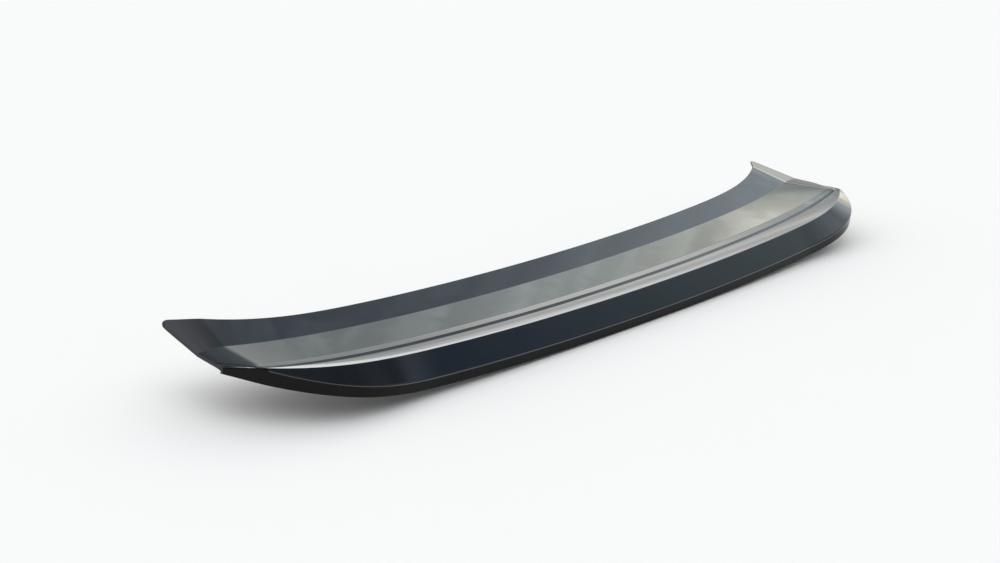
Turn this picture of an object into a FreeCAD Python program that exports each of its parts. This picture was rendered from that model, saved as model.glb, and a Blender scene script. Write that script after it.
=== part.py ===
"""Lip spoiler for a car: one thin moulded shell, open below, with a hooked trailing wall.

Frame: X runs across the car, Y points to the leading edge, Z is up. The origin lies on the
mid plane, on the underside of the valley crease, where the shell seats on the car's panel.
"""
import FreeCAD, Part
import math
import os

import Sketcher

NODE = "lip_shell"

# Sizes of the whole shell in millimetres and degrees: name, value, meaning
SHELL_SIZES = [
    ("wall", 4.0, "thickness of the moulded sheet"),
    ("half_mitre", 513.3, "mid plane to the mitre crease, on the valley line"),
    ("end_length", 31.0, "mitre crease to the outer end, across the car"),
    ("valley_bow", 26.4, "how far the valley line sweeps forward by the mitre"),
    ("bow_share", 0.56, "part of the sweep that is an even arc, the rest turns near the end"),
    ("valley_rise", 21.4, "how far the valley line climbs by the mitre"),
    ("rise_share", 0.74, "part of the climb that is an even arc"),
    ("mitre_turn", 9.3, "turn of the mitre section about the vertical"),
    ("end_turn", 4.4, "turn of the end section about the vertical"),
    ("end_forward", 4.3, "valley line, from the mitre forward to the end"),
    ("end_drop", 0.9, "valley line, from the mitre down to the end"),
    ("corner_length", 182.3, "from where the trailing edge leaves its long arc to the mitre"),
    ("corner_power", 2.9, "how suddenly the trailing corner turns"),
    ("face_flare", 12.6, "how much deeper the trailing face gets on its way round the corner"),
    ("face_lift", 5.5, "how much less it falls there"),
    ("bevel_radius", 240.0, "hollow of the bevel that climbs to the crest"),
    ("tip_radius", 5.5, "rounding of the leading tips, seen from above"),
    ("tip_bite", 0.05, "how far that rounding cuts into each of the two edges that it joins"),
]

# One section, leading edge to lower rim: name, mid plane, mitre, outer end, meaning
SECTION_SIZES = [
    ("far_run", 36.0, 55.1, 79.5, "leading strip, depth"),
    ("far_drop", 12.8, 16.4, 16.9, "leading strip, fall to the valley"),
    ("deck_run", 58.0, 70.0, 32.3, "deck from the valley to the bead, depth"),
    ("deck_drop", 5.3, 0.1, 1.7, "deck, fall to the bead"),
    ("bead_run", 15.2, 7.1, 4.0, "bead, depth"),
    ("bead_rise", 1.3, 0.1, -0.3, "bead, climb to its ridge"),
    ("groove_run", 5.5, 3.5, 3.0, "step behind the bead, depth"),
    ("groove_drop", 1.5, 0.6, 0.23, "step behind the bead, fall"),
    ("bevel_run", 36.5, 5.4, 8.7, "bevel, depth"),
    ("bevel_rise", 5.7, 2.0, -0.67, "bevel, climb to the crest"),
    ("face_run", 18.8, 1.5, 0.6, "trailing face, depth"),
    ("face_drop", 24.9, 1.2, 1.2, "trailing face, fall"),
    ("band_tuck", 1.0, 3.4, 4.3, "lower band, how far it turns back under"),
    ("band_drop", 12.4, 17.9, 5.9, "lower band, height"),
    ("crest_inset", 0.50, 1.00, 1.00, "inside of the crest, forward, in walls"),
    ("crest_sink", 1.09, 1.05, 1.05, "inside of the crest, down, in walls"),
    ("edge_inset", 1.05, 1.00, 1.00, "inside of the lower edge, forward, in walls"),
    ("edge_sink", 0.21, 0.95, 0.95, "inside of the lower edge, down, in walls"),
]

# Stations from the mid plane to the mitre, as shares of half_mitre: closer where the corner turns
STATIONS = [0.0, 0.3, 0.5, 0.65, 0.76, 0.83, 0.89, 0.95, 1.0]

# Brings the flare's curve to 1 at its height, two thirds of the way round the corner
FLARE_PEAK = 27 / 4

# Corners of the section in order round the sheet, each placed from the corner named beside it
# by a run (towards +Y) and a climb (towards +Z), written with the names above
CORNERS = [
    ("far", "valley", "{far_run}", "{far_drop}"),
    ("valley", None, None, None),
    ("bead", "valley", "-({deck_run})", "-({deck_drop})"),
    ("ridge", "bead", "-({bead_run})", "{bead_rise}"),
    ("groove", "ridge", "-({groove_run})", "-({groove_drop})"),
    ("crest", "groove", "-({bevel_run})", "{bevel_rise}"),
    ("edge", "crest", "-({face_run})", "-({face_drop})"),
    ("rim", "edge", "{band_tuck}", "-({band_drop})"),
    ("rim_inside", "rim", "{wall}", None),
    ("edge_inside", "edge", "({edge_inset}) * {wall}", "-({edge_sink}) * {wall}"),
    ("crest_inside", "crest", "({crest_inset}) * {wall}", "-({crest_sink}) * {wall}"),
    ("groove_inside", "groove", None, "-{wall}"),
    ("valley_inside", "valley", None, "-{wall}"),
    ("far_inside", "far", None, "-{wall}"),
]
CORNER_NAMES = [corner[0] for corner in CORNERS]
BEVEL_SIDE = CORNER_NAMES.index("groove")


def make_sheet(document):
    """The driving dimensions, one named cell each."""
    sheet = document.addObject("Spreadsheet::Sheet", "dims")
    cells = list(SHELL_SIZES)
    for name, mid, mitre, end, note in SECTION_SIZES:
        cells.append((name + "_mid", mid, note + ", at the mid plane"))
        cells.append((name + "_mitre", mitre, note + ", at the mitre"))
        cells.append((name + "_end", end, note + ", at the outer end"))
    for row, (name, value, note) in enumerate(cells, start=1):
        sheet.set("A%d" % row, note)
        sheet.set("B%d" % row, str(value))
        sheet.setAlias("B%d" % row, name)
    document.recompute()
    return sheet


def corner_reach(station):
    """Expression: how far round the trailing corner a station lies, 0 to 1."""
    return "max(0; 1 - %g * dims.half_mitre / dims.corner_length)" % (1 - station)


def corner_share(station):
    """Expression: how much of the section's change to the mitre is done at a station, 0 to 1."""
    return "%s ^ dims.corner_power" % corner_reach(station)


def flare_share(station):
    """Expression: how much of the trailing face's flare a station has, 0 at both ends of the corner."""
    reach = corner_reach(station)
    return "%g * %s ^ 2 * (1 - %s)" % (FLARE_PEAK, reach, reach)


def section_words(station):
    """Expressions of the section's sizes at a station, or at the outer end when it is None."""
    words = {"wall": "dims.wall"}
    for name, *_ in SECTION_SIZES:
        if station is None:
            words[name] = "dims.%s_end" % name
        else:
            change = "(dims.%s_mitre - dims.%s_mid)" % (name, name)
            words[name] = "dims.%s_mid + %s * %s" % (name, change, corner_share(station))
    if station is not None:
        words["face_run"] += " + dims.face_flare * " + flare_share(station)
        words["face_drop"] += " - dims.face_lift * " + flare_share(station)
    return words


def station_place(station, side):
    """Expressions of a section's place: sideways, forward, up, and its turn in degrees."""
    if station is None:
        across = "dims.half_mitre + dims.end_length"
        forward = "dims.valley_bow + dims.end_forward"
        up = "dims.wall + dims.valley_rise - dims.end_drop"
        turn = "dims.end_turn"
    else:
        even = station ** 2
        across = "%s * dims.half_mitre" % station
        forward = "dims.valley_bow * (dims.bow_share * %s + (1 - dims.bow_share) * %s)" % (even, even ** 4)
        climb = "dims.valley_rise * (dims.rise_share * %s + (1 - dims.rise_share) * %s)" % (even, even ** 2)
        up = "dims.wall + " + climb
        turn = "dims.mitre_turn * %s" % even
    return "%d * (%s)" % (side, across), forward, up, "%d * (%s)" % (side, turn)


def step_length(sheet, step, words):
    """One run or climb as a number."""
    return 0.0 if step is None else sheet.evalExpression(step.format(**words))


def corner_points(sheet, words):
    """The section's corners as numbers, where the sketch is first drawn."""
    points = {}
    for name, origin, run, climb in CORNERS:
        if origin is None:
            points[name] = FreeCAD.Vector(0, 0, 0)
    while len(points) < len(CORNERS):
        for name, origin, run, climb in CORNERS:
            if name not in points and origin in points:
                points[name] = points[origin] + FreeCAD.Vector(
                    step_length(sheet, run, words), step_length(sheet, climb, words), 0)
    return points


def hollow_arc(crest, groove, radius):
    """Arc from the crest to the groove, hollow side up."""
    chord = groove - crest
    upward = FreeCAD.Vector(-chord.y, chord.x, 0).normalize()
    sagitta = radius - math.sqrt(radius ** 2 - (chord.Length / 2) ** 2)
    return Part.Arc(crest, (crest + groove) / 2 - upward * sagitta, groove)


def add_section(body, sheet, station, side):
    """One sketch of the sheet's section, every size bound to the named dimensions."""
    tag = "end" if station is None else "%03d" % round(station * 100)
    hand = {-1: "left", 0: "mid", 1: "right"}[side]
    sketch = body.newObject("Sketcher::SketchObject", "section_%s_%s" % (hand, tag))
    plane = [item for item in body.Origin.OriginFeatures if item.Role == "YZ_Plane"][0]
    sketch.AttachmentSupport = (plane, [""])
    sketch.MapMode = "FlatFace"
    across, forward, up, turn = station_place(station, side)
    about_vertical = FreeCAD.Rotation(FreeCAD.Vector(0, 1, 0), 1.0)
    sketch.AttachmentOffset = FreeCAD.Placement(FreeCAD.Vector(0, 0, 0), about_vertical)
    sketch.setExpression("AttachmentOffset.Base.x", forward)
    sketch.setExpression("AttachmentOffset.Base.y", up)
    sketch.setExpression("AttachmentOffset.Base.z", across)
    sketch.setExpression("AttachmentOffset.Rotation.Angle", turn)

    words = section_words(station)
    points = corner_points(sheet, words)
    starts = {}
    ends = {}
    for index, name in enumerate(CORNER_NAMES):
        following = CORNER_NAMES[(index + 1) % len(CORNER_NAMES)]
        if index == BEVEL_SIDE:
            arc = hollow_arc(points[following], points[name], sheet.bevel_radius)
            edge = sketch.addGeometry(arc, False)
            starts[name] = (edge, 2)
            ends[following] = (edge, 1)
            number = sketch.addConstraint(Sketcher.Constraint("Radius", edge, sheet.bevel_radius))
            sketch.setExpression("Constraints[%d]" % number, "dims.bevel_radius")
        else:
            edge = sketch.addGeometry(Part.LineSegment(points[name], points[following]), False)
            starts[name] = (edge, 1)
            ends[following] = (edge, 2)
    for name in CORNER_NAMES:
        sketch.addConstraint(Sketcher.Constraint("Coincident", *starts[name], *ends[name]))
    for name, origin, run, climb in CORNERS:
        anchor = (-1, 1) if origin is None else starts[origin]
        if origin is None:
            sketch.addConstraint(Sketcher.Constraint("Coincident", *starts[name], *anchor))
            continue
        for kind, level, step in (("DistanceX", "Vertical", run), ("DistanceY", "Horizontal", climb)):
            if step is None:
                sketch.addConstraint(Sketcher.Constraint(level, *anchor, *starts[name]))
                continue
            length = step_length(sheet, step, words)
            number = sketch.addConstraint(Sketcher.Constraint(kind, *anchor, *starts[name], length))
            sketch.setExpression("Constraints[%d]" % number, step.format(**words))
    return sketch


def make_shell(document, sheet):
    """The shell: a loft from mitre to mitre, a ruled band to each outer end, rounded tips."""
    body = document.addObject("PartDesign::Body", NODE)
    sides = [(station, -1) for station in reversed(STATIONS[1:])]
    sides += [(STATIONS[0], 0)]
    sides += [(station, 1) for station in STATIONS[1:]]
    sections = [add_section(body, sheet, station, side) for station, side in sides]
    document.recompute()

    loft = body.newObject("PartDesign::AdditiveLoft", "long_loft")
    loft.Profile = sections[0]
    loft.Sections = sections[1:]
    loft.Ruled = False
    document.recompute()

    for side, mitre in ((-1, sections[0]), (1, sections[-1])):
        end = add_section(body, sheet, None, side)
        document.recompute()
        band = body.newObject("PartDesign::AdditiveLoft", "end_band_%s" % ("left" if side < 0 else "right"))
        band.Profile = mitre
        band.Sections = [end]
        band.Ruled = True
        document.recompute()

    for side in (-1, 1):
        corner = add_tip_corner(body, sheet, side)
        document.recompute()
        tip = body.newObject("PartDesign::Pocket", "rounded_tip_%s" % ("left" if side < 0 else "right"))
        tip.Profile = corner
        tip.Type = "ThroughAll"
        tip.Midplane = True
        document.recompute()
    return body


def leading_place(station, side):
    """Expressions of the leading edge's place at a station as seen from above: sideways and forward."""
    across, forward, up, turn = station_place(station, side)
    run = section_words(station)["far_run"]
    return "%s - (%s) * sin(%s)" % (across, run, turn), "%s + (%s) * cos(%s)" % (forward, run, turn)


def add_tip_corner(body, sheet, side):
    """Plan sketch of what the rounding takes off a leading tip, bound to the two edges that meet there."""
    sketch = body.newObject("Sketcher::SketchObject", "tip_corner_%s" % ("left" if side < 0 else "right"))
    plane = [item for item in body.Origin.OriginFeatures if item.Role == "XY_Plane"][0]
    sketch.AttachmentSupport = (plane, [""])
    sketch.MapMode = "FlatFace"
    places = {
        "tip": leading_place(None, side),
        "lead": leading_place(1.0, side),
        "root": station_place(None, side)[:2],
    }
    spots = {}
    for name, place in places.items():
        spots[name] = FreeCAD.Vector(*[sheet.evalExpression(word) for word in place], 0)

    to_lead = (spots["lead"] - spots["tip"]).normalize()
    to_root = (spots["root"] - spots["tip"]).normalize()
    half_angle = to_lead.getAngle(to_root) / 2
    inset = sheet.tip_radius - sheet.tip_bite
    inward = (to_lead + to_root).normalize()
    centre = spots["tip"] + inward * (inset / math.sin(half_angle))
    crossing = inset / math.tan(half_angle) - math.sqrt(sheet.tip_radius ** 2 - inset ** 2)
    start = spots["tip"] + to_lead * crossing
    finish = spots["tip"] + to_root * crossing
    outside = spots["tip"] - inward * sheet.tip_radius

    lead_line = sketch.addGeometry(Part.LineSegment(outside, start), False)
    # A sketch's arc runs anticlockwise, so the right tip's is drawn from its other end
    arc_points = [start, centre - inward * sheet.tip_radius, finish][::-side]
    round_arc = sketch.addGeometry(Part.Arc(*arc_points), False)
    root_line = sketch.addGeometry(Part.LineSegment(finish, outside), False)
    lead_edge = sketch.addGeometry(Part.LineSegment(spots["tip"], spots["lead"]), True)
    root_edge = sketch.addGeometry(Part.LineSegment(spots["tip"], spots["root"]), True)
    arc_ends = (1, 2)[::-side]
    for first, first_end, second, second_end in (
            (lead_line, 1, root_line, 2), (lead_line, 2, round_arc, arc_ends[0]),
            (root_line, 1, round_arc, arc_ends[1]), (lead_edge, 1, root_edge, 1)):
        sketch.addConstraint(Sketcher.Constraint("Coincident", first, first_end, second, second_end))
    sketch.addConstraint(Sketcher.Constraint("PointOnObject", lead_line, 2, lead_edge))
    sketch.addConstraint(Sketcher.Constraint("PointOnObject", root_line, 1, root_edge))
    sketch.addConstraint(Sketcher.Constraint("Equal", lead_line, root_line))
    bound = [
        (Sketcher.Constraint("Radius", round_arc, sheet.tip_radius), "dims.tip_radius"),
        (Sketcher.Constraint("Distance", lead_edge, 1, lead_line, 1, sheet.tip_radius), "dims.tip_radius"),
        (Sketcher.Constraint("Distance", round_arc, 3, lead_edge, inset), "dims.tip_radius - dims.tip_bite"),
        (Sketcher.Constraint("Distance", round_arc, 3, root_edge, inset), "dims.tip_radius - dims.tip_bite"),
    ]
    for name, edge, end in (("tip", lead_edge, 1), ("lead", lead_edge, 2), ("root", root_edge, 2)):
        for kind, word in zip(("DistanceX", "DistanceY"), places[name]):
            bound.append((Sketcher.Constraint(kind, -1, 1, edge, end, sheet.evalExpression(word)), word))
    for constraint, word in bound:
        sketch.setExpression("Constraints[%d]" % sketch.addConstraint(constraint), word)
    return sketch


def check_and_write(document, parts):
    """Stop on any failed object, then write each part's file."""
    for item in document.Objects:
        failed = [word for word in item.State if word in ("Invalid", "Error")]
        if failed:
            raise RuntimeError("%s is %s" % (item.Name, ", ".join(failed)))
    for part in parts:
        if part.Shape.isNull() or not part.Shape.isValid() or len(part.Shape.Solids) != 1:
            raise RuntimeError("%s has no single valid solid" % part.Label)
    os.makedirs("parts", exist_ok=True)
    for part in parts:
        part.Shape.exportStep("parts/%s.step" % part.Label)
        box = part.Shape.optimalBoundingBox(False)
        print("%s: %.1f x %.1f x %.1f mm" % (part.Label, box.XLength, box.YLength, box.ZLength))
        print("volume %.1f cm3, faces %d" % (part.Shape.Volume / 1000, len(part.Shape.Faces)))


def main():
    document = FreeCAD.newDocument("lip_spoiler")
    sheet = make_sheet(document)
    shell = make_shell(document, sheet)
    check_and_write(document, [shell])


main()
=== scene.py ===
"""Studio scene of a car's lip spoiler: one glossy moulded shell lying on white paper."""
from collections import namedtuple
import math

import bmesh
import bpy
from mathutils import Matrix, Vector


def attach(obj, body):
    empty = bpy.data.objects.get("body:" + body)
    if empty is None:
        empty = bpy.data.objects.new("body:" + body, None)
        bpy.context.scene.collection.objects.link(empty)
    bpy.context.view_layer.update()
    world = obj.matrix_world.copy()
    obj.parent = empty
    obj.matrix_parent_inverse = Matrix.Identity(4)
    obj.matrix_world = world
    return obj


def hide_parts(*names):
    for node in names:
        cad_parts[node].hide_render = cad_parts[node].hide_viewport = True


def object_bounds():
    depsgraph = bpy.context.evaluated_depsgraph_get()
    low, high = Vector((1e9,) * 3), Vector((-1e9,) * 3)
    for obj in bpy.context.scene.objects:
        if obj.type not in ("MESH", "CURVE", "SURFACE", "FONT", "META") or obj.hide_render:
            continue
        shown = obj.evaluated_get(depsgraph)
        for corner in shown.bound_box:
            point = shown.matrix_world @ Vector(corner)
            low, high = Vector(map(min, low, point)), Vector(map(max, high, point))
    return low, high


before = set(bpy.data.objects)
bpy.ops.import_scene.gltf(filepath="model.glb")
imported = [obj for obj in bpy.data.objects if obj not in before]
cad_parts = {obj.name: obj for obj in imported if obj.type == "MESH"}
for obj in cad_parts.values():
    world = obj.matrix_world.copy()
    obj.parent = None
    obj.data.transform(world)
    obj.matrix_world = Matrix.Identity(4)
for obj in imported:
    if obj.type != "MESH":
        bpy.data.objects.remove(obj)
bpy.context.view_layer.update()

MM = 0.001

# The shell's sizes in millimetres and degrees. They are the CAD part's, apart from the band's tuck
# at the outer end
WALL = 4.0
HALF_MITRE = 513.3
END_LENGTH = 31.0
VALLEY_BOW = 26.4
BOW_SHARE = 0.56
BOW_POWER = 8
VALLEY_RISE = 21.4
RISE_SHARE = 0.74
RISE_POWER = 4
MITRE_TURN = 9.3
END_TURN = 4.4
END_FORWARD = 4.3
END_DROP = 0.9
CORNER_LENGTH = 182.3
CORNER_POWER = 2.9
FACE_FLARE = 12.6
FACE_LIFT = 5.5
FLARE_SCALE = 27 / 4  # makes the flare's greatest value 1
BEVEL_RADIUS = 240.0
TIP_RADIUS = 5.5

# One section: size at the mid plane, at the mitre crease and at the outer end
SECTION = {
    "far_run": (36.0, 55.1, 79.5),
    "far_drop": (12.8, 16.4, 16.9),
    "deck_run": (58.0, 70.0, 32.3),
    "deck_drop": (5.3, 0.1, 1.7),
    "bead_run": (15.2, 7.1, 4.0),
    "bead_rise": (1.3, 0.1, -0.3),
    "groove_run": (5.5, 3.5, 3.0),
    "groove_drop": (1.5, 0.6, 0.23),
    "bevel_run": (36.5, 5.4, 8.7),
    "bevel_rise": (5.7, 2.0, -0.67),
    "face_run": (18.8, 1.5, 0.6),
    "face_drop": (24.9, 1.2, 1.2),
    "band_tuck": (1.0, 3.4, 1.2),
    "band_drop": (12.4, 17.9, 5.9),
    "crest_inset": (0.50, 1.0, 1.0),
    "crest_sink": (1.09, 1.05, 1.05),
    "edge_inset": (1.05, 1.0, 1.0),
    "edge_sink": (0.21, 0.95, 0.95),
}

# How finely the skin is drawn out
HOLLOW_POINTS = 5
LONG_STATIONS = 64
STATION_CROWDING = 1.5
END_STATIONS = 3
TIP_STATIONS = 10
MITRE_SOFTNESS = 3.0
MITRE_STEPS = 3

# The lower edge's rounding is drawn in the section: its setback in millimetres, and the most it
# takes of a neighbouring strip where that runs out
EDGE_SETBACK = 1.4
EDGE_SHARE = 0.4
EDGE_POINTS = 5

# Rounding of each other long crease, in millimetres
CREASE_ROUNDING = {
    "far": 0.9,
    "far_inside": 0.9,
    "valley": 0.8,
    "bead": 1.2,
    "ridge": 0.9,
    "groove": 0.7,
    "crest": 0.5,
    "rim": 0.8,
    "rim_inside": 0.8,
}
ROUNDING_SEGMENTS = 3

# Where the trailing face is narrower than this it has closed, and the band runs up to the crest
CLOSED_FACE = 3.0

# The photograph's camera: lens and sensor in millimetres, place in metres, angles in degrees
FOCAL_LENGTH = 57.6
SENSOR_WIDTH = 36.0
CAMERA_PLACE = (-1.4488, -1.2855, 0.5853)
CAMERA_DIP = 17.134
CAMERA_HEADING = 45.848
FAR_CLIP = 200.0

# The paper, in metres
PAPER_HALF_SIZE = 40.0
PAPER_GAP = 0.001

# The lamp overhead: strength in watts per square metre, linear tint, angles in degrees
LAMP_ENERGY = 2.5
LAMP_TINT = (1.0, 0.98, 0.96)
LAMP_WIDTH = 150
LAMP_LEAN = -18

# The studio dome. Heights are the sine of the elevation, and bearings are a share of a turn that
# starts at the trailing side: 0.5 is the leading side and 0.75 the right end.
# By height: grey below, slate above, dark from about 50 degrees, paler again overhead
DOME_TINTS = [
    (0.0, "#A9B5B5"), (0.48, "#A8B4B5"), (0.64, "#9AA8B4"), (0.72, "#7F8C98"), (0.78, "#4B5763"),
    (0.9, "#3A4652"), (1.0, "#A4ADB3"),
]
# By bearing: screens that darken all but the right, and the heights where they fade out
SCREEN_TINTS = [
    (0.0, "#8E949D"), (0.583, "#7E848E"), (0.617, "#DDDDDD"), (0.72, "#DDDDDD"), (0.76, "#FFFFFF"),
    (0.82, "#EEF7FF"), (0.86, "#96A9C6"), (1.0, "#8E949D"),
]
SCREEN_TOPS = (0.56, 0.70)
# The white foot by height, with a greyer line low in it; how much of it shows at each bearing; and
# the heights where it fades out
FOOT_TINTS = [
    (0.0, "#F6F6F6"), (0.06, "#F0F0F0"), (0.11, "#D4D4D5"), (0.15, "#DCDCDB"), (0.19, "#FFFEFB"),
]
FOOT_SHARES = [
    (0.0, "#E7E7E7"), (0.4, "#BCBCBC"), (0.612, "#AAAAAA"), (0.625, "#FFFFFF"), (0.81, "#FFFFFF"),
    (0.845, "#6A6A6A"), (1.0, "#E7E7E7"),
]
FOOT_TOP = (0.17, 0.38)

# In what follows a middle is (elevation, bearing from the leading side) and a reach goes up and
# along from it, all in degrees.
# The broad cream glow behind the lip, and its tints from its rim to its middle
GLOW_MIDDLE, GLOW_REACH = (23, 71), (7, 18.5)
GLOW_STRENGTH = 2.0
GLOW_TINTS = [(0.0, "#EEF8F6"), (0.35, "#F0F8F4"), (0.6, "#FFFAE6"), (1.0, "#FFF8E2")]
# Cloud-like patches about 2 degrees across: the part of the noise that is used, and the least and
# most that it adds to the light
CLOUDS_PER_RADIAN = 30.0
CLOUD_NOISE = (0.42, 0.72)
CLOUD_LEVELS = (-0.14, 0.5)
CLOUD_MIDDLE, CLOUD_REACH = (30, 62), (30, 30)
# Small soft lights: colour, middle, reach
SOFT_LIGHTS = [
    ("#DDE7EF", (36, 75), (6, 9)),
    ("#D8D2BC", (27, 58.5), (2.6, 2.3)),
    ("#BFC8D1", (33, 102), (7, 11)),
    ("#878182", (50, 34), (8, 12)),
]
# Gaps between the screens: share of the light lost, middle, reach
DARK_GAPS = [
    (0.6, (14, 57), (10, 3)),
    (0.32, (28.8, 54.6), (1.8, 1.7)),
    (0.62, (44, 108), (7.5, 13)),
]

# Finishes of the skin, in the order of the piece's material slots
GLOSS, TRIMMED, BACK, SATIN = range(4)

# What the sky's parts read: sockets, with climb and bearing in radians
Look = namedtuple("Look", "way height climb bearing turn")


def lerp(first, last, share):
    """A value a share of the way from the first to the last."""
    return first + (last - first) * share


def section_corners(size):
    """Corners of one section round the sheet, as (forward, up) from the valley crease."""
    corners = {
        "far": (size["far_run"], size["far_drop"]),
        "valley": (0.0, 0.0),
        "bead": (-size["deck_run"], -size["deck_drop"]),
    }
    steps = [
        ("ridge", "bead", -size["bead_run"], size["bead_rise"]),
        ("groove", "ridge", -size["groove_run"], -size["groove_drop"]),
        ("crest", "groove", -size["bevel_run"], size["bevel_rise"]),
        ("edge", "crest", -size["face_run"], -size["face_drop"]),
        ("rim", "edge", size["band_tuck"], -size["band_drop"]),
        ("rim_inside", "rim", WALL, 0.0),
        ("edge_inside", "edge", size["edge_inset"] * WALL, -size["edge_sink"] * WALL),
        ("crest_inside", "crest", size["crest_inset"] * WALL, -size["crest_sink"] * WALL),
        ("groove_inside", "groove", 0.0, -WALL),
        ("valley_inside", "valley", 0.0, -WALL),
        ("far_inside", "far", 0.0, -WALL),
    ]
    for name, start, run, climb in steps:
        corners[name] = (corners[start][0] + run, corners[start][1] + climb)
    return corners


def hollow_points(groove, crest):
    """Points of the bevel's hollow, on the parabola closest to its arc from groove to crest."""
    chord = crest - groove
    down = Vector((-chord.y, chord.x)).normalized()
    sagitta = BEVEL_RADIUS - math.sqrt(BEVEL_RADIUS ** 2 - (chord.length / 2) ** 2)
    shares = [number / (HOLLOW_POINTS + 1) for number in range(1, HOLLOW_POINTS + 1)]
    return [groove + chord * share + down * sagitta * 4 * share * (1 - share) for share in shares]


def edge_points(crest, edge, rim):
    """Points of the soft bend that rounds the lower edge."""
    narrower = min((crest - edge).length, (rim - edge).length)
    setback = min(EDGE_SETBACK, EDGE_SHARE * narrower)
    before = edge + (crest - edge).normalized() * setback
    after = edge + (rim - edge).normalized() * setback
    shares = [number / (EDGE_POINTS - 1) for number in range(EDGE_POINTS)]
    return [before.lerp(edge, share).lerp(edge.lerp(after, share), share) for share in shares]


def drawn_section(corners):
    """The section's corners with the bevel's hollow and the lower edge's rounding put in."""
    points = []
    for name, place in corners.items():
        if name == "edge":
            bend = edge_points(*[Vector(corners[corner]) for corner in ("crest", "edge", "rim")])
            points += [("edge_%d" % number, point) for number, point in enumerate(bend)]
            continue
        points.append((name, Vector(place)))
        if name == "groove":
            arc = hollow_points(Vector(place), Vector(corners["crest"]))
            points += [("hollow_%d" % number, point) for number, point in enumerate(arc)]
    return points


def stand_up(points, across, forward, up, turn):
    """A flat section stood at its place along the shell, in metres."""
    direction = Vector((-math.sin(turn), math.cos(turn), 0))
    base = Vector((across, forward, up))
    return {
        name: (base + direction * place.x + Vector((0, 0, place.y))) * MM for name, place in points
    }


def long_section(share, side):
    """The section at a share of the way from the mid plane to a mitre crease."""
    reach = max(0.0, 1 - (1 - share) * HALF_MITRE / CORNER_LENGTH)
    towards_mitre = reach ** CORNER_POWER
    size = {name: lerp(mid, mitre, towards_mitre) for name, (mid, mitre, _) in SECTION.items()}
    flare = FLARE_SCALE * reach ** 2 * (1 - reach)
    size["face_run"] += FACE_FLARE * flare
    size["face_drop"] -= FACE_LIFT * flare
    forward = VALLEY_BOW * lerp(share ** BOW_POWER, share ** 2, BOW_SHARE)
    up = WALL + VALLEY_RISE * lerp(share ** RISE_POWER, share ** 2, RISE_SHARE)
    turn = side * math.radians(MITRE_TURN) * share ** 2
    points = drawn_section(section_corners(size))
    return stand_up(points, side * share * HALF_MITRE, forward, up, turn)


def end_section(share, side):
    """The section at a share of the way from a mitre crease to the outer end."""
    mitre = long_section(1.0, side)
    size = {name: end for name, (_, _, end) in SECTION.items()}
    across = side * (HALF_MITRE + END_LENGTH)
    forward = VALLEY_BOW + END_FORWARD
    up = WALL + VALLEY_RISE - END_DROP
    turn = side * math.radians(END_TURN)
    outer = stand_up(drawn_section(section_corners(size)), across, forward, up, turn)
    return {name: mitre[name].lerp(outer[name], share) for name in mitre}


def mitre_sections(side):
    """Sections that carry the skin round a mitre crease in a small soft bend."""
    before = long_section(1 - MITRE_SOFTNESS / HALF_MITRE, side)
    crease = long_section(1.0, side)
    after = end_section(MITRE_SOFTNESS / END_LENGTH, side)
    sections = []
    for step in range(MITRE_STEPS + 1):
        share = step / MITRE_STEPS
        bend = {}
        for name, corner in crease.items():
            inward, outward = before[name].lerp(corner, share), corner.lerp(after[name], share)
            bend[name] = inward.lerp(outward, share)
        sections.append(bend)
    return sections


def tip_sections(side):
    """Sections through the leading tip, whose corner is rounded as seen from above."""
    crease, outer = end_section(0.0, side), end_section(1.0, side)
    tip = outer["far"].to_2d()
    along_lead = crease["far"].to_2d() - tip
    along_end = outer["valley"].to_2d() - tip
    half_angle = along_lead.angle(along_end) / 2
    setback = TIP_RADIUS * MM / math.tan(half_angle)
    middle = (along_lead.normalized() + along_end.normalized()).normalized()
    centre = tip + middle * TIP_RADIUS * MM / math.sin(half_angle)
    start = 1 - setback / along_lead.length
    sections = []
    for number in range(TIP_STATIONS + 1):
        share = lerp(start, 1.0, math.sin(math.pi / 2 * number / TIP_STATIONS))
        section = end_section(share, side)
        strip = section["far"].to_2d() - section["valley"].to_2d()
        reach = (centre - section["valley"].to_2d()).dot(strip.normalized())
        offset = (section["valley"].to_2d() + strip.normalized() * reach - centre).length
        chord = math.sqrt(max(0.0, (TIP_RADIUS * MM) ** 2 - offset ** 2))
        keep = min(1.0, (reach + chord) / strip.length)
        for name, root in (("far", "valley"), ("far_inside", "valley_inside")):
            section[name] = section[root].lerp(section[name], keep)
        sections.append(section)
    return start, sections


def half_sections(side):
    """Sections from just beside the mid plane out to one end, closer together near the corner."""
    limit = 1 - MITRE_SOFTNESS / HALF_MITRE
    ahead = [1 - number / LONG_STATIONS for number in range(1, LONG_STATIONS)]
    sections = [long_section(limit * (1 - rest ** STATION_CROWDING), side) for rest in ahead]
    sections += mitre_sections(side)
    tip_start, tip = tip_sections(side)
    band_start = MITRE_SOFTNESS / END_LENGTH
    for number in range(1, END_STATIONS):
        sections.append(end_section(lerp(band_start, tip_start, number / END_STATIONS), side))
    return sections + tip


def finish_of(name, following, section):
    """Which finish the skin has between two neighbouring corners of a section."""
    if (name, following) in (("rim", "rim_inside"), ("far_inside", "far")):
        return TRIMMED
    if name.endswith("_inside"):
        return BACK
    face_closed = (section["crest"] - section["edge_0"]).length < CLOSED_FACE * MM
    on_face = name == "crest" or name.startswith("edge_")
    if name == "edge_%d" % (EDGE_POINTS - 1) or (face_closed and on_face):
        return SATIN
    return GLOSS


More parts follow.
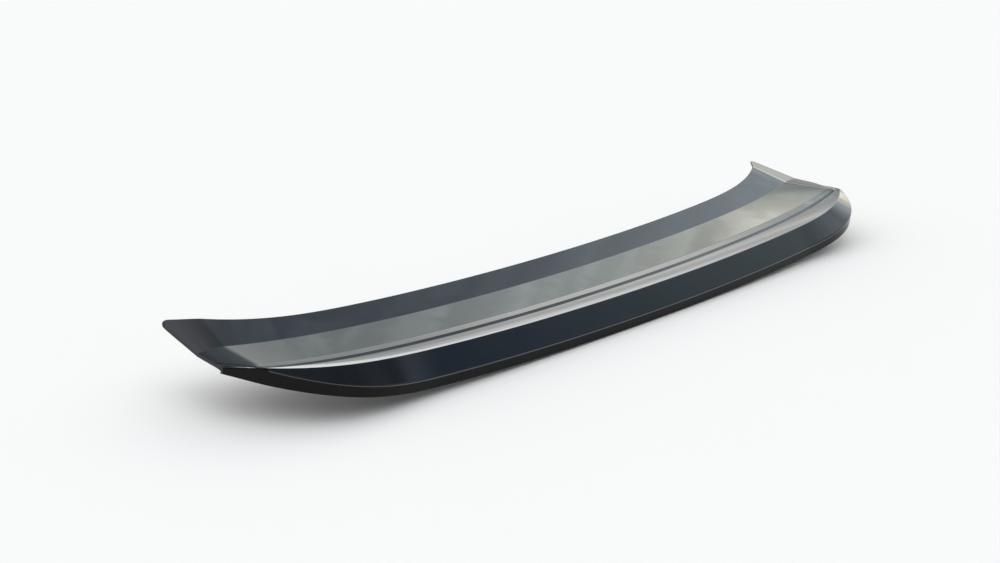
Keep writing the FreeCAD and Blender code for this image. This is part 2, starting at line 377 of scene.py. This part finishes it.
def sweep_shell():
    """The shell's skin: one section drawn at the left end and drawn out station by station."""
    sections = half_sections(-1)[::-1] + [long_section(0.0, 1)] + half_sections(1)
    shell = bmesh.new()
    names = list(sections[0])
    follows = dict(zip(names, names[1:] + names[:1]))
    ring = {name: shell.verts.new(sections[0][name]) for name in names}
    edges = {name: shell.edges.new((ring[name], ring[follows[name]])) for name in names}
    caps = bmesh.ops.contextual_create(shell, geom=list(edges.values()))["faces"]
    creases = {name: [] for name in names}
    for section in sections[1:]:
        drawn = set(bmesh.ops.extrude_edge_only(shell, edges=list(edges.values()))["geom"])
        for name in names:
            face = [item for item in edges[name].link_faces if item in drawn][0]
            face.material_index = finish_of(name, follows[name], section)
        for name, vert in ring.items():
            link = [edge for edge in vert.link_edges if edge.other_vert(vert) in drawn][0]
            creases[name].append(link)
            ring[name] = link.other_vert(vert)
        for name, vert in ring.items():
            vert.co = section[name]
        edges = {name: shell.edges.get((ring[name], ring[follows[name]])) for name in names}
    caps += bmesh.ops.contextual_create(shell, geom=list(edges.values()))["faces"]
    for cap in caps:
        cap.material_index = TRIMMED
        for edge in cap.edges:
            edge.smooth = False
    bmesh.ops.recalc_face_normals(shell, faces=shell.faces)
    return shell, creases


def make_lip(finishes):
    """The lip: the swept skin with its creases rounded."""
    shell, creases = sweep_shell()
    for name, radius in CREASE_ROUNDING.items():
        bmesh.ops.bevel(
            shell, geom=creases[name], offset=radius * MM, offset_type="OFFSET",
            segments=ROUNDING_SEGMENTS, profile=0.5, affect="EDGES", material=-1,
            clamp_overlap=True)
    for face in shell.faces:
        face.smooth = True
    mesh = bpy.data.meshes.new("lip_skin")
    shell.to_mesh(mesh)
    shell.free()
    for finish in finishes:
        mesh.materials.append(finish)
    piece = bpy.data.objects.new("lip_skin", mesh)
    bpy.context.scene.collection.objects.link(piece)
    even = piece.modifiers.new("even_shading", "WEIGHTED_NORMAL")
    even.mode = "FACE_AREA"
    even.keep_sharp = True
    # The bevel mirrors the white paper behind the lip, as in the photograph, not the leading strip
    piece.visible_glossy = False
    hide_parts("lip_shell")
    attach(piece, "root")


def colour(hex_code):
    """An sRGB hex colour as linear RGBA."""
    channels = [int(hex_code[i:i + 2], 16) / 255 for i in (1, 3, 5)]
    linear = [c / 12.92 if c <= 0.04045 else ((c + 0.055) / 1.055) ** 2.4 for c in channels]
    return (*linear, 1.0)


def node(tree, kind, values=None, links=None, stops=None, **settings):
    """Adds a node with its settings, input values, links and a ramp's (place, sRGB hex) stops."""
    made = tree.nodes.new(kind)
    for name, value in settings.items():
        setattr(made, name, value)
    for name, value in (values or {}).items():
        made.inputs[name].default_value = value
    for name, source in (links or {}).items():
        tree.links.new(source, made.inputs[name])
    for number, (place, code) in enumerate(stops or []):
        elements = made.color_ramp.elements
        element = elements[number] if number < len(elements) else elements.new(place)
        element.position, element.color = place, colour(code)
    return made


def per_metre(millimetres):
    """Texture scale for a pattern whose features are this far apart."""
    return 1000 / millimetres


def new_material(name):
    """An empty material and its node tree."""
    material = bpy.data.materials.new(name)
    material.use_nodes = True
    material.node_tree.nodes.clear()
    return material, material.node_tree


def gloss_abs():
    """Vacuum-formed ABS with an acrylic cap: deep black, with clear, faintly wavy reflections."""
    material, tree = new_material("abs_gloss_black")
    place = node(tree, "ShaderNodeTexCoord").outputs["Object"]
    # Slow waves left by the forming, and a fine peel, drawn coarser than the real one to show
    waves = node(tree, "ShaderNodeTexNoise", {"Scale": per_metre(70), "Detail": 2.0},
                 {"Vector": place})
    peel = node(tree, "ShaderNodeTexNoise", {"Scale": per_metre(5), "Detail": 1.0},
                {"Vector": place})
    swell = node(tree, "ShaderNodeBump", {"Strength": 0.25, "Distance": 0.8 * MM},
                 {"Height": waves.outputs["Fac"]})
    skin = node(tree, "ShaderNodeBump", {"Strength": 0.03, "Distance": 0.2 * MM},
                {"Height": peel.outputs["Fac"], "Normal": swell.outputs["Normal"]})
    # Handling leaves faint clearer and duller patches
    smears = node(tree, "ShaderNodeTexNoise", {"Scale": per_metre(45), "Detail": 4.0},
                  {"Vector": place})
    dull = node(
        tree, "ShaderNodeMapRange",
        {"From Min": 0.3, "From Max": 0.7, "To Min": 0.04, "To Max": 0.10},
        {"Value": smears.outputs["Fac"]})
    tint = node(tree, "ShaderNodeValToRGB", links={"Fac": smears.outputs["Fac"]},
                stops=[(0.3, "#0B0C0E"), (0.7, "#111214")])
    shader = node(
        tree, "ShaderNodeBsdfPrincipled",
        {"IOR": 1.53, "Coat Weight": 1.0, "Coat Roughness": 0.02, "Coat IOR": 1.49},
        {"Base Color": tint.outputs["Color"], "Roughness": dull.outputs["Result"],
         "Normal": skin.outputs["Normal"], "Coat Normal": skin.outputs["Normal"]})
    node(tree, "ShaderNodeOutputMaterial", links={"Surface": shader.outputs["BSDF"]})
    return material


def satin_abs():
    """ABS below the mould's polished part: a black band with a soft, dim sheen and fine grain."""
    material, tree = new_material("abs_satin_band")
    place = node(tree, "ShaderNodeTexCoord").outputs["Object"]
    # The grain is about 0.5 mm; it is drawn at 1.5 mm to show
    grain = node(tree, "ShaderNodeTexNoise", {"Scale": per_metre(1.5), "Detail": 2.0},
                 {"Vector": place})
    cloud = node(tree, "ShaderNodeTexNoise", {"Scale": per_metre(50), "Detail": 3.0},
                 {"Vector": place})
    tint = node(tree, "ShaderNodeValToRGB", links={"Fac": cloud.outputs["Fac"]},
                stops=[(0.3, "#050505"), (0.7, "#090909")])
    sheen = node(tree, "ShaderNodeMapRange", {"To Min": 0.14, "To Max": 0.22},
                 {"Value": cloud.outputs["Fac"]})
    bump = node(tree, "ShaderNodeBump", {"Strength": 0.1, "Distance": 0.1 * MM},
                {"Height": grain.outputs["Fac"]})
    # The IOR is below ABS's 1.53, matched to a sheen that the photograph shows much dimmer
    shader = node(tree, "ShaderNodeBsdfPrincipled", {"IOR": 1.25},
                  {"Base Color": tint.outputs["Color"], "Roughness": sheen.outputs["Result"],
                   "Normal": bump.outputs["Normal"]})
    node(tree, "ShaderNodeOutputMaterial", links={"Surface": shader.outputs["BSDF"]})
    return material


def trimmed_abs():
    """The sheet's cut edge, routed and wiped: satin black with fine tool lines along it."""
    material, tree = new_material("abs_trimmed_edge")
    place = node(tree, "ShaderNodeTexCoord").outputs["Object"]
    # The lines are 0.8 mm apart and twenty times as long
    stretched = node(tree, "ShaderNodeMapping", {"Scale": (0.05, 0.05, 1.0)}, {"Vector": place})
    lines = node(tree, "ShaderNodeTexNoise", {"Scale": per_metre(0.8), "Detail": 2.0},
                 {"Vector": stretched.outputs["Vector"]})
    tint = node(tree, "ShaderNodeValToRGB", links={"Fac": lines.outputs["Fac"]},
                stops=[(0.3, "#080808"), (0.7, "#0E0E0E")])
    rub = node(tree, "ShaderNodeMapRange", {"To Min": 0.3, "To Max": 0.5},
               {"Value": lines.outputs["Fac"]})
    bump = node(tree, "ShaderNodeBump", {"Strength": 0.2, "Distance": 0.1 * MM},
                {"Height": lines.outputs["Fac"]})
    # The IOR is below ABS's 1.53, matched to the dark edges in the photograph
    shader = node(tree, "ShaderNodeBsdfPrincipled", {"IOR": 1.35},
                  {"Base Color": tint.outputs["Color"], "Roughness": rub.outputs["Result"],
                   "Normal": bump.outputs["Normal"]})
    node(tree, "ShaderNodeOutputMaterial", links={"Surface": shader.outputs["BSDF"]})
    return material


def back_abs():
    """The sheet's uncapped back: matt black with the fine haircell grain that it is rolled with."""
    material, tree = new_material("abs_haircell_back")
    place = node(tree, "ShaderNodeTexCoord").outputs["Object"]
    # Haircell cells are about 1 mm; they are drawn at 2.5 mm to show
    cells = node(tree, "ShaderNodeTexVoronoi", {"Scale": per_metre(2.5)}, {"Vector": place})
    cloud = node(tree, "ShaderNodeTexNoise", {"Scale": per_metre(60), "Detail": 3.0},
                 {"Vector": place})
    tint = node(tree, "ShaderNodeValToRGB", links={"Fac": cloud.outputs["Fac"]},
                stops=[(0.3, "#141414"), (0.7, "#1C1C1D")])
    matt = node(tree, "ShaderNodeMapRange", {"To Min": 0.5, "To Max": 0.65},
                {"Value": cloud.outputs["Fac"]})
    bump = node(tree, "ShaderNodeBump", {"Strength": 0.35, "Distance": 0.3 * MM},
                {"Height": cells.outputs["Distance"]})
    shader = node(tree, "ShaderNodeBsdfPrincipled", {"IOR": 1.53},
                  {"Base Color": tint.outputs["Color"], "Roughness": matt.outputs["Result"],
                   "Normal": bump.outputs["Normal"]})
    node(tree, "ShaderNodeOutputMaterial", links={"Surface": shader.outputs["BSDF"]})
    return material


def make_stage():
    """White studio paper under the lip."""
    sheet = bmesh.new()
    bmesh.ops.create_grid(sheet, x_segments=1, y_segments=1, size=PAPER_HALF_SIZE)
    bmesh.ops.translate(sheet, verts=sheet.verts, vec=(0, 0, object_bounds()[0][2] - PAPER_GAP))
    mesh = bpy.data.meshes.new("studio_paper")
    sheet.to_mesh(mesh)
    sheet.free()
    floor = bpy.data.objects.new("studio_paper", mesh)
    bpy.context.scene.collection.objects.link(floor)
    material, tree = new_material("paper_white")
    shader = node(tree, "ShaderNodeBsdfDiffuse", {"Color": colour("#FBFAF9")})
    node(tree, "ShaderNodeOutputMaterial", links={"Surface": shader.outputs["BSDF"]})
    mesh.materials.append(material)


def make_camera():
    """The photograph's view: from the trailing side, to the left and a little above."""
    lens = bpy.data.cameras.new("photo_camera")
    lens.lens = FOCAL_LENGTH
    lens.sensor_width = SENSOR_WIDTH
    lens.sensor_fit = "HORIZONTAL"
    lens.clip_end = FAR_CLIP
    camera = bpy.data.objects.new("photo_camera", lens)
    camera.location = CAMERA_PLACE
    camera.rotation_euler = (math.radians(90 - CAMERA_DIP), 0, math.radians(-CAMERA_HEADING))
    bpy.context.scene.collection.objects.link(camera)
    bpy.context.scene.camera = camera


def sky_look(tree):
    """Where a ray looks: its direction, height, climb and bearing, and the bearing as a share."""
    way = node(tree, "ShaderNodeTexCoord").outputs["Generated"]
    parts = node(tree, "ShaderNodeSeparateXYZ", links={"Vector": way}).outputs
    climb = node(tree, "ShaderNodeMath", links={0: parts["Z"]}, operation="ARCSINE")
    bearing = node(tree, "ShaderNodeMath", links={0: parts["X"], 1: parts["Y"]},
                   operation="ARCTAN2")
    turn = node(tree, "ShaderNodeMapRange", {"From Min": -math.pi, "From Max": math.pi},
                {"Value": bearing.outputs["Value"]})
    return Look(way, parts["Z"], climb.outputs["Value"], bearing.outputs["Value"],
                turn.outputs["Result"])


def hump(tree, look, middle, reach):
    """A smooth hump round one direction: 1 at its middle, and about a third at its reach."""
    fades = []
    for angle, place, width in zip((look.climb, look.bearing), middle, reach):
        away = node(tree, "ShaderNodeMath", {1: 1 / math.radians(width), 2: -place / width},
                    {0: angle}, operation="MULTIPLY_ADD")
        square = node(tree, "ShaderNodeMath", {1: 2.0}, {0: away.outputs["Value"]},
                      operation="POWER")
        fades.append(square.outputs["Value"])
    total = node(tree, "ShaderNodeMath", links={0: fades[0], 1: fades[1]}, operation="ADD")
    drop = node(tree, "ShaderNodeMath", {1: -1.0}, {0: total.outputs["Value"]},
                operation="MULTIPLY")
    shape = node(tree, "ShaderNodeMath", links={0: drop.outputs["Value"]}, operation="EXPONENT")
    return shape.outputs["Value"]


def screened_dome(tree, look):
    """The dome's colour by height, darkened low down by the screens that stand round the lip."""
    dome = node(tree, "ShaderNodeValToRGB", links={"Fac": look.height}, stops=DOME_TINTS)
    screens = node(tree, "ShaderNodeValToRGB", links={"Fac": look.turn}, stops=SCREEN_TINTS)
    tops = node(
        tree, "ShaderNodeMapRange",
        {"From Min": SCREEN_TOPS[0], "From Max": SCREEN_TOPS[1], "To Min": 1.0, "To Max": 0.0},
        {"Value": look.height}, interpolation_type="SMOOTHSTEP")
    mixed = node(
        tree, "ShaderNodeMix", data_type="RGBA", blend_type="MULTIPLY",
        links={0: tops.outputs["Result"], 6: dome.outputs["Color"], 7: screens.outputs["Color"]})
    return mixed.outputs[2]


def cloudy_glow(tree, look, dome):
    """The dome with its cream glow, both in cloud-like patches that fade out away from the glow."""
    glow = hump(tree, look, GLOW_MIDDLE, GLOW_REACH)
    warmth = node(tree, "ShaderNodeValToRGB", links={"Fac": glow}, stops=GLOW_TINTS)
    bright = node(tree, "ShaderNodeMath", {1: GLOW_STRENGTH}, {0: glow}, operation="MULTIPLY")
    cream = node(tree, "ShaderNodeVectorMath", operation="SCALE",
                 links={0: warmth.outputs["Color"], "Scale": bright.outputs["Value"]})
    sky = node(tree, "ShaderNodeVectorMath", links={0: dome, 1: cream.outputs["Vector"]},
               operation="ADD")
    clouds = node(
        tree, "ShaderNodeTexNoise", {"Scale": CLOUDS_PER_RADIAN, "Detail": 5.0, "Distortion": 1.0},
        {"Vector": look.way})
    patches = node(
        tree, "ShaderNodeMapRange",
        {"From Min": CLOUD_NOISE[0], "From Max": CLOUD_NOISE[1],
         "To Min": CLOUD_LEVELS[0], "To Max": CLOUD_LEVELS[1]},
        {"Value": clouds.outputs["Fac"]})
    spread = hump(tree, look, CLOUD_MIDDLE, CLOUD_REACH)
    uneven = node(tree, "ShaderNodeMath", {2: 1.0}, {0: patches.outputs["Result"], 1: spread},
                  operation="MULTIPLY_ADD")
    cloudy = node(tree, "ShaderNodeVectorMath", operation="SCALE",
                  links={0: sky.outputs["Vector"], "Scale": uneven.outputs["Value"]})
    return cloudy.outputs["Vector"]


def white_foot(tree, look, sky):
    """The sky with its white foot, which shows more at some bearings than at others."""
    paper = node(tree, "ShaderNodeValToRGB", links={"Fac": look.height}, stops=FOOT_TINTS)
    shares = node(tree, "ShaderNodeValToRGB", links={"Fac": look.turn}, stops=FOOT_SHARES)
    top = node(
        tree, "ShaderNodeMapRange",
        {"From Min": FOOT_TOP[0], "From Max": FOOT_TOP[1], "To Min": 1.0, "To Max": 0.0},
        {"Value": look.height}, interpolation_type="SMOOTHSTEP")
    foot = node(tree, "ShaderNodeMath", operation="MULTIPLY",
                links={0: top.outputs["Result"], 1: shares.outputs["Color"]})
    whole = node(tree, "ShaderNodeMix", data_type="RGBA",
                 links={0: foot.outputs["Value"], 6: sky, 7: paper.outputs["Color"]})
    return whole.outputs[2]


def make_sky():
    """A soft dome: white at its foot, slate blue above, with a broad cream glow behind the lip."""
    world = bpy.data.worlds.new("studio_dome")
    world.use_nodes = True
    tree = world.node_tree
    tree.nodes.clear()
    look = sky_look(tree)
    light = cloudy_glow(tree, look, screened_dome(tree, look))
    for tint, middle, reach in SOFT_LIGHTS:
        soft = node(tree, "ShaderNodeVectorMath", {0: colour(tint)[:3]},
                    {"Scale": hump(tree, look, middle, reach)}, operation="SCALE")
        lit = node(tree, "ShaderNodeVectorMath", links={0: light, 1: soft.outputs["Vector"]},
                   operation="ADD")
        light = lit.outputs["Vector"]
    light = white_foot(tree, look, light)
    for lost, middle, reach in DARK_GAPS:
        left = node(tree, "ShaderNodeMath", {1: -lost, 2: 1.0},
                    {0: hump(tree, look, middle, reach)}, operation="MULTIPLY_ADD")
        dimmed = node(tree, "ShaderNodeVectorMath", operation="SCALE",
                      links={0: light, "Scale": left.outputs["Value"]})
        light = dimmed.outputs["Vector"]
    back = node(tree, "ShaderNodeBackground", links={"Color": light})
    node(tree, "ShaderNodeOutputWorld", links={"Surface": back.outputs["Background"]})
    bpy.context.scene.world = world


def make_lamp():
    """One very broad lamp above and a little behind, so that the shadow stays close to the lip."""
    lamp = bpy.data.lights.new("soft_ceiling", "SUN")
    lamp.energy = LAMP_ENERGY
    lamp.color = LAMP_TINT
    lamp.angle = math.radians(LAMP_WIDTH)
    holder = bpy.data.objects.new("soft_ceiling", lamp)
    holder.rotation_euler = (math.radians(LAMP_LEAN), 0, 0)
    holder.visible_glossy = False
    bpy.context.scene.collection.objects.link(holder)


make_lip([gloss_abs(), trimmed_abs(), back_abs(), satin_abs()])
make_stage()
make_camera()
make_sky()
make_lamp()
bpy.context.scene.view_settings.view_transform = "Standard"
